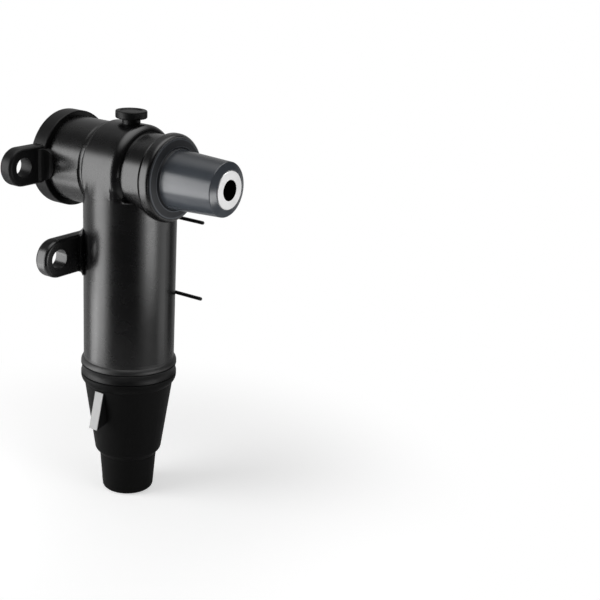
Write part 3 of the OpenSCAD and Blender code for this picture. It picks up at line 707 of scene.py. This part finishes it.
def split_to_triangles(mesh):
    """Splits the faces that have gained corners. A point that comes to lie between two triangles without
    height goes again, and a single one of them is turned."""
    made = bmesh.ops.triangulate(mesh, faces=[face for face in mesh.faces if len(face.verts) > 3])["faces"]
    pinched = [point for point in mesh.verts if len(point.link_edges) < 3]
    bmesh.ops.delete(mesh, geom=pinched, context="VERTS")
    for face in made:
        if face.is_valid:
            turn_long_edge(face)


def points_of(mesh):
    """All points of the mesh, as rows."""
    return np.array([vertex.co[:] for vertex in mesh.verts])


def form_distances(p):
    """How far the points lie from each form, the nearest first."""
    return np.sort(np.array([hub_form(p), leg_form(p), foot_form(p), arms_form(p)]), axis=0)


def on_skin(p):
    """Points of the outer skin, near the centre of the tee."""
    central = (p[:, 2] < skin_top) & (p[:, 2] > skin_foot) & (np.abs(p[:, 0]) < skin_half)
    return central & (np.abs(form_distances(p)[0]) < surface_gap)


def near_crease(p):
    """Skin points with a second form close by."""
    return on_skin(p) & (form_distances(p)[1] < blend_reach)


jacket = merged_copy("outer_jacket")
print("jacket triangles:", len(jacket.faces))

# %% [markdown]
# Each round splits the edges near a crease that are still too long, and the triangles shrink by half. The
# rounds end as soon as no edge is left to split.

# %% Refine the skin round the creases
longest_edge = 1.6          # of a triangle near a crease, in mm
most_rounds = 14
for turn in range(most_rounds):
    jacket.verts.index_update()
    chosen = near_crease(points_of(jacket))
    long_edges = [e for e in jacket.edges if e.calc_length() > longest_edge
                  and (chosen[e.verts[0].index] or chosen[e.verts[1].index])]
    if not long_edges:
        break
    bmesh.ops.subdivide_edges(jacket, edges=long_edges, cuts=1)
    split_to_triangles(jacket)
print("jacket triangles:", len(jacket.faces), "after", turn, "rounds")

# %% [markdown]
# ## Two round grooves
# One shallow groove runs behind the front arm's lip and one round the rear arm, just behind the hub. A
# mould leaves such lines where its parts meet. The arms' triangles run from end to end, so the skin is
# first cut into narrow rings there, which can then be sunk.

# %% Cut rings for the grooves
front_groove = (37.0, 40.3, 1.5, front_arm_r)        # start, end, depth, radius of the arm
rear_groove = (-27.4, -20.9, 1.7, rear_arm_r)
grooves = (front_groove, rear_groove)
rings_in_groove = 8
longest_face = 60        # of an arm's triangle, along the arm
beyond_groove = 0.4
off_radius = 0.2         # how far a point of the arm's skin may lie off its radius


def cut_rings(radius, low, high, places):
    """Cuts the skin of a round bar along the tee axis at the given places."""
    for place in places:
        band = [face for face in jacket.faces
                if all(low < v.co.x < high and abs(math.hypot(v.co.y, v.co.z) - radius) < off_radius
                       for v in face.verts)]
        edges = {edge for face in band for edge in face.edges}
        points = {vertex for face in band for vertex in face.verts}
        bmesh.ops.bisect_plane(jacket, geom=[*points, *edges, *band], dist=1e-4, plane_co=(place, 0, 0),
                               plane_no=(1, 0, 0))
        split_to_triangles(jacket)


for start, end, depth, arm_r in grooves:
    places = [start + (end - start) * i / rings_in_groove for i in range(rings_in_groove + 1)]
    cut_rings(arm_r, start - longest_face, end + beyond_groove, places)
jacket.verts.index_update()
odd_edges = sum(len(edge.link_faces) != 2 for edge in jacket.edges)
print("jacket triangles with rings:", len(jacket.faces), "odd edges:", odd_edges)

# %% [markdown]
# ## Move the skin
# Each point of the skin walks down the slope of the blended form until it lies on it. A few steps are
# enough, because no point starts far away. The grooves are then sunk with a round floor, so that they
# catch a shadow and no glint. The rear one fades towards the top, as it does in the photograph.

# %% Move the skin and sink the grooves
walking_steps = 6
least_slope = 0.2
groove_roundness = 0.6
fade_top, fade_height, least_depth = 26, 22, 0.2     # the rear groove's depth over its height

placed = points_of(jacket)
skin = on_skin(placed)
moving = placed[skin]
for step in range(walking_steps):
    rise = slope(body_form, moving)
    steep = np.maximum((rise * rise).sum(1), least_slope)
    moving = moving - (body_form(moving) / steep)[:, None] * rise
placed[skin] = moving
across = np.hypot(placed[:, 1], placed[:, 2])
sink = np.zeros(len(placed))
for start, end, depth, arm_r in grooves:
    along = (placed[:, 0] - start) / (end - start)
    inside = (along > 0.01) & (along < 0.99) & (np.abs(across - arm_r) < off_radius)
    fading = 1
    if arm_r == rear_arm_r:
        fading = np.clip((fade_top - placed[inside, 2]) / fade_height, least_depth, 1)
    sink[inside] = fading * depth * np.sin(np.pi * along[inside]) ** groove_roundness
placed[:, 1:] *= (1 - sink / np.maximum(across, 1))[:, None]
for vertex, where in zip(jacket.verts, placed):
    vertex.co = where
print("points sunk in the grooves:", int((sink > 0).sum()))

# %% [markdown]
# ## Shade the softened skin
# Normals decide how light runs over a surface. On the softened skin they are the slope of the blended
# form, which is smoother than the triangles themselves. It is read a little inside each triangle, so that
# a crisp line stays crisp. Every other corner keeps the solid's normal.

# %% Read the normals of the softened skin
into_face = 0.1          # share of the way from a corner to its triangle's centre
jacket.normal_update()
jacket.faces.index_update()
jacket.faces.ensure_lookup_table()
jacket.verts.ensure_lookup_table()
kept = jacket.loops.layers.float_vector["kept_normal"]
faces = list(jacket.faces)
corner_normals = np.array([corner[kept][:] for face in faces for corner in face.loops])
corner_faces = np.array([i for i, face in enumerate(faces) for corner in face.loops])
corner_points = np.array([corner.vert.co[:] for face in faces for corner in face.loops])
corner_vertices = np.array([corner.vert.index for face in faces for corner in face.loops])
corner_across = np.hypot(corner_points[:, 1], corner_points[:, 2])
centres = np.array([face.calc_center_median()[:] for face in faces])
soft = np.array([all(skin[v.index] for v in face.verts) for face in faces])[corner_faces]
read_at = corner_points[soft] + into_face * (centres[corner_faces[soft]] - corner_points[soft])
corner_normals[soft] = slope(body_form, read_at)


def to_unit(vectors):
    """The same directions with a length of one."""
    return vectors / np.linalg.norm(vectors, axis=1)[:, None]


print("jacket corners:", len(corner_normals), "of which softened:", int(soft.sum()))

# %% [markdown]
# ## The hollow at the arm's foot, the grooves and the lip
# A narrow hollow runs round the front arm where it leaves the hub's shoulder. It is too fine to cut, so
# the shoulder is only shaded steeper there. In the grooves the mean of the faces round a point is right.
# The lip of the front arm is a little fuller than its solid, so its crown is shaded as if it bulged.

# %% Shade the hollow, the grooves and the lip
foot_start, foot_end = 15.0, 19.4
foot_inner, foot_outer, foot_fade = 34.0, 38.5, 2.8
foot_steepness = 1.8
least_sink = 0.004
crown_start, crown_inner, crown_flat = 42.5, 34.6, 0.9
bulge_start, bulge_length = 46.2, 2.8

foot_line = soft & (corner_points[:, 0] > foot_start) & (corner_across < foot_outer)
foot_line &= (corner_across > foot_inner) & (corner_points[:, 0] < foot_end) & (corner_normals[:, 0] > 0.5)
outward = corner_points[foot_line, 1:] / corner_across[foot_line, None]
steeper = foot_steepness * np.clip((foot_outer - corner_across[foot_line]) / foot_fade, 0, 1)
corner_normals[foot_line, 1:] += outward * steeper[:, None]
corner_normals[foot_line] = to_unit(corner_normals[foot_line])

in_groove = sink > least_sink
groove_faces = {face.index for i in np.where(in_groove)[0] for face in jacket.verts[i].link_faces}
means = np.zeros((len(placed), 3))
for i in groove_faces:
    for vertex in faces[i].verts:
        means[vertex.index] += np.array(faces[i].normal[:]) * faces[i].calc_area()
grooved = in_groove[corner_vertices]
corner_normals[grooved] = to_unit(means[corner_vertices[grooved]])

crown = (corner_points[:, 0] > crown_start) & (corner_across > crown_inner)
crown &= (corner_normals[:, 0] > 0) & (corner_normals[:, 0] < crown_flat)
fullness = np.clip((corner_points[crown, 0] - bulge_start) / bulge_length, 0, 1)
corner_normals[crown, 0] *= fullness * fullness
corner_normals = to_unit(corner_normals)
print("corners at the arm's foot:", int(foot_line.sum()), "in grooves:", int(grooved.sum()))

# %% [markdown]
# ## Put the softened jacket in place
# The refined mesh goes back to metres, with its place in the mesh itself, and takes over from the solid's
# plain one. It is the same size as the solid, since every hollow lies inside its box.

# %% Make the jacket's piece
jacket_mesh = bpy.data.meshes.new("softened_jacket")
from_mm = Matrix.Translation((-reach, 0, 0)) @ Matrix.Scale(MM, 4)
bmesh.ops.transform(jacket, matrix=from_mm, verts=jacket.verts)
jacket.to_mesh(jacket_mesh)
jacket.free()
jacket_mesh.attributes.remove(jacket_mesh.attributes["kept_normal"])
for polygon in jacket_mesh.polygons:
    polygon.use_smooth = True
jacket_mesh.normals_split_custom_set(corner_normals.tolist())
jacket_mesh.materials.clear()
jacket_mesh.materials.append(jacket_rubber)
jacket_piece = bpy.data.objects.new("softened_jacket", jacket_mesh)
bpy.context.scene.collection.objects.link(jacket_piece)
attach(jacket_piece, "root")
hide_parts("outer_jacket")
print("jacket piece:", len(jacket_mesh.polygons), "triangles")

# %% [markdown]
# ## The thread of the clamping stud
# The stud inside the tee carries a metric thread of 2 mm pitch, which the solid leaves plain. A thread is
# a rule: the radius goes up and down along the stud, and the pattern turns with the angle. So Geometry
# Nodes bend a flat grid round the axis. The same tree makes another thread by new numbers. Its ends are
# chamfered and closed: the grid's first and last rows shrink to a point.

# %% Name the thread's sizes
thread_rule = bpy.data.node_groups.new("thread_rule", "GeometryNodeTree")
thread_lengths = {"Radius": 0.008, "Start": 0.0, "End": 0.05, "Pitch": 0.002, "Depth": 0.0011,
                  "Chamfer": 0.0015}
thread_counts = {"Rows": 300, "Sides": 41}
for sizes, kind in ((thread_lengths, "NodeSocketFloat"), (thread_counts, "NodeSocketInt")):
    for label, value in sizes.items():
        socket = thread_rule.interface.new_socket(label, in_out="INPUT", socket_type=kind)
        socket.default_value = value
thread_rule.interface.new_socket("Metal", in_out="INPUT", socket_type="NodeSocketMaterial")
thread_rule.interface.new_socket("Geometry", in_out="OUTPUT", socket_type="NodeSocketGeometry")
given = thread_rule.nodes.new("NodeGroupInput").outputs
result = thread_rule.nodes.new("NodeGroupOutput")
print("thread inputs:", [*thread_lengths, *thread_counts])

# %% [markdown]
# A row's number says how far along the stud it lies, and a column's number says how far round. From the
# two comes the thread's flank. The number of turns since the start is found, and of it only the part
# after the decimal point counts, because the thread repeats with each turn.

# %% Turn rows and columns into the thread's radius
def sum_of(operation, first, second=0.0):
    """The sum of two values in the thread's tree."""
    return calculated(thread_rule, operation, first, second)


sheet = add_node(thread_rule, "GeometryNodeMeshGrid", {"Size X": 1.0, "Size Y": 1.0})
place = add_node(thread_rule, "GeometryNodeInputPosition")
place_parts = add_node(thread_rule, "ShaderNodeSeparateXYZ")
join(thread_rule, given["Rows"], sheet.inputs["Vertices X"])
join(thread_rule, given["Sides"], sheet.inputs["Vertices Y"])
join(thread_rule, place.outputs[0], place_parts.inputs[0])
row_step = sum_of("DIVIDE", 1.0, sum_of("SUBTRACT", given["Rows"], 1.0))
half_row = sum_of("MULTIPLY", row_step, 0.5)
along = sum_of("ADD", place_parts.outputs["X"], 0.5)
around = sum_of("ADD", place_parts.outputs["Y"], 0.5)
inner_share = sum_of("SUBTRACT", 1.0, sum_of("MULTIPLY", row_step, 2.0))
inner = sum_of("DIVIDE", sum_of("SUBTRACT", along, row_step), inner_share)
inner = sum_of("MINIMUM", sum_of("MAXIMUM", inner, 0.0), 1.0)
length = sum_of("SUBTRACT", given["End"], given["Start"])
from_start = sum_of("MULTIPLY", inner, length)
turns = sum_of("SUBTRACT", sum_of("DIVIDE", from_start, given["Pitch"]), around)
flank = sum_of("ABSOLUTE", sum_of("SUBTRACT", sum_of("MULTIPLY", sum_of("FRACT", turns), 2.0), 1.0))
threaded = sum_of("SUBTRACT", given["Radius"], sum_of("MULTIPLY", flank, given["Depth"]))
to_end = sum_of("MINIMUM", from_start, sum_of("SUBTRACT", length, from_start))
bevelled = sum_of("SUBTRACT", sum_of("ADD", given["Radius"], to_end), given["Chamfer"])
not_first = sum_of("GREATER_THAN", along, half_row)
not_last = sum_of("LESS_THAN", along, sum_of("SUBTRACT", 1.0, half_row))
open_rows = sum_of("MULTIPLY", not_first, not_last)
radius = sum_of("MULTIPLY", sum_of("MINIMUM", threaded, bevelled), open_rows)
print("thread rule:", len(thread_rule.nodes), "nodes so far")

# %% [markdown]
# The grid is then bent round the stud's axis. Where its two long edges meet, and at both ends, doubled
# points are merged, so that the thread is one closed skin.

# %% Bend the grid round the stud
merge_distance = 0.000002
angle = sum_of("MULTIPLY", around, 2 * math.pi)
bent = add_node(thread_rule, "ShaderNodeCombineXYZ")
join(thread_rule, sum_of("ADD", given["Start"], from_start), bent.inputs["X"])
join(thread_rule, sum_of("MULTIPLY", radius, sum_of("COSINE", angle)), bent.inputs["Y"])
join(thread_rule, sum_of("MULTIPLY", radius, sum_of("SINE", angle)), bent.inputs["Z"])
wrapped = add_node(thread_rule, "GeometryNodeSetPosition")
sealed = add_node(thread_rule, "GeometryNodeMergeByDistance", {"Distance": merge_distance})
realized = add_node(thread_rule, "GeometryNodeRealizeInstances")
coated = add_node(thread_rule, "GeometryNodeSetMaterial")
join(thread_rule, sheet.outputs["Mesh"], wrapped.inputs["Geometry"])
join(thread_rule, bent.outputs[0], wrapped.inputs["Position"])
join(thread_rule, wrapped.outputs[0], sealed.inputs[0])
join(thread_rule, sealed.outputs[0], realized.inputs[0])
join(thread_rule, realized.outputs[0], coated.inputs["Geometry"])
join(thread_rule, given["Metal"], coated.inputs["Material"])
join(thread_rule, coated.outputs[0], result.inputs[0])
print("thread rule:", len(thread_rule.nodes), "nodes")

# %% [markdown]
# The stud's own box gives the thread its length and radius, so the two can't differ. The tree's result
# becomes a plain mesh, and a last look at its edges shows that the skin is closed.

# %% Cut the stud's thread
stud_low, stud_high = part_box("clamping_stud")
carrier = bpy.data.objects.new("thread_carrier", bpy.data.meshes.new("thread_carrier"))
bpy.context.scene.collection.objects.link(carrier)
threader = carrier.modifiers.new("thread", "NODES")
threader.node_group = thread_rule
stud_values = {"Radius": (stud_high[2] - stud_low[2]) / 2, "Start": stud_low[0], "End": stud_high[0],
               "Metal": steel}
for item in thread_rule.interface.items_tree:
    if item.in_out == "INPUT" and item.name in stud_values:
        threader[item.identifier] = stud_values[item.name]
evaluated = carrier.evaluated_get(bpy.context.evaluated_depsgraph_get())
thread_mesh = bpy.data.meshes.new_from_object(evaluated)
carrier.modifiers.remove(threader)
bpy.data.objects.remove(carrier)
outwards = bmesh.new()
outwards.from_mesh(thread_mesh)
bmesh.ops.recalc_face_normals(outwards, faces=outwards.faces)
open_edges = sum(not edge.is_manifold for edge in outwards.edges)
outwards.to_mesh(thread_mesh)
outwards.free()
thread_piece = bpy.data.objects.new("stud_thread", thread_mesh)
bpy.context.scene.collection.objects.link(thread_piece)
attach(thread_piece, "root")
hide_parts("clamping_stud")
print("thread faces:", len(thread_mesh.polygons), "open edges:", open_edges)
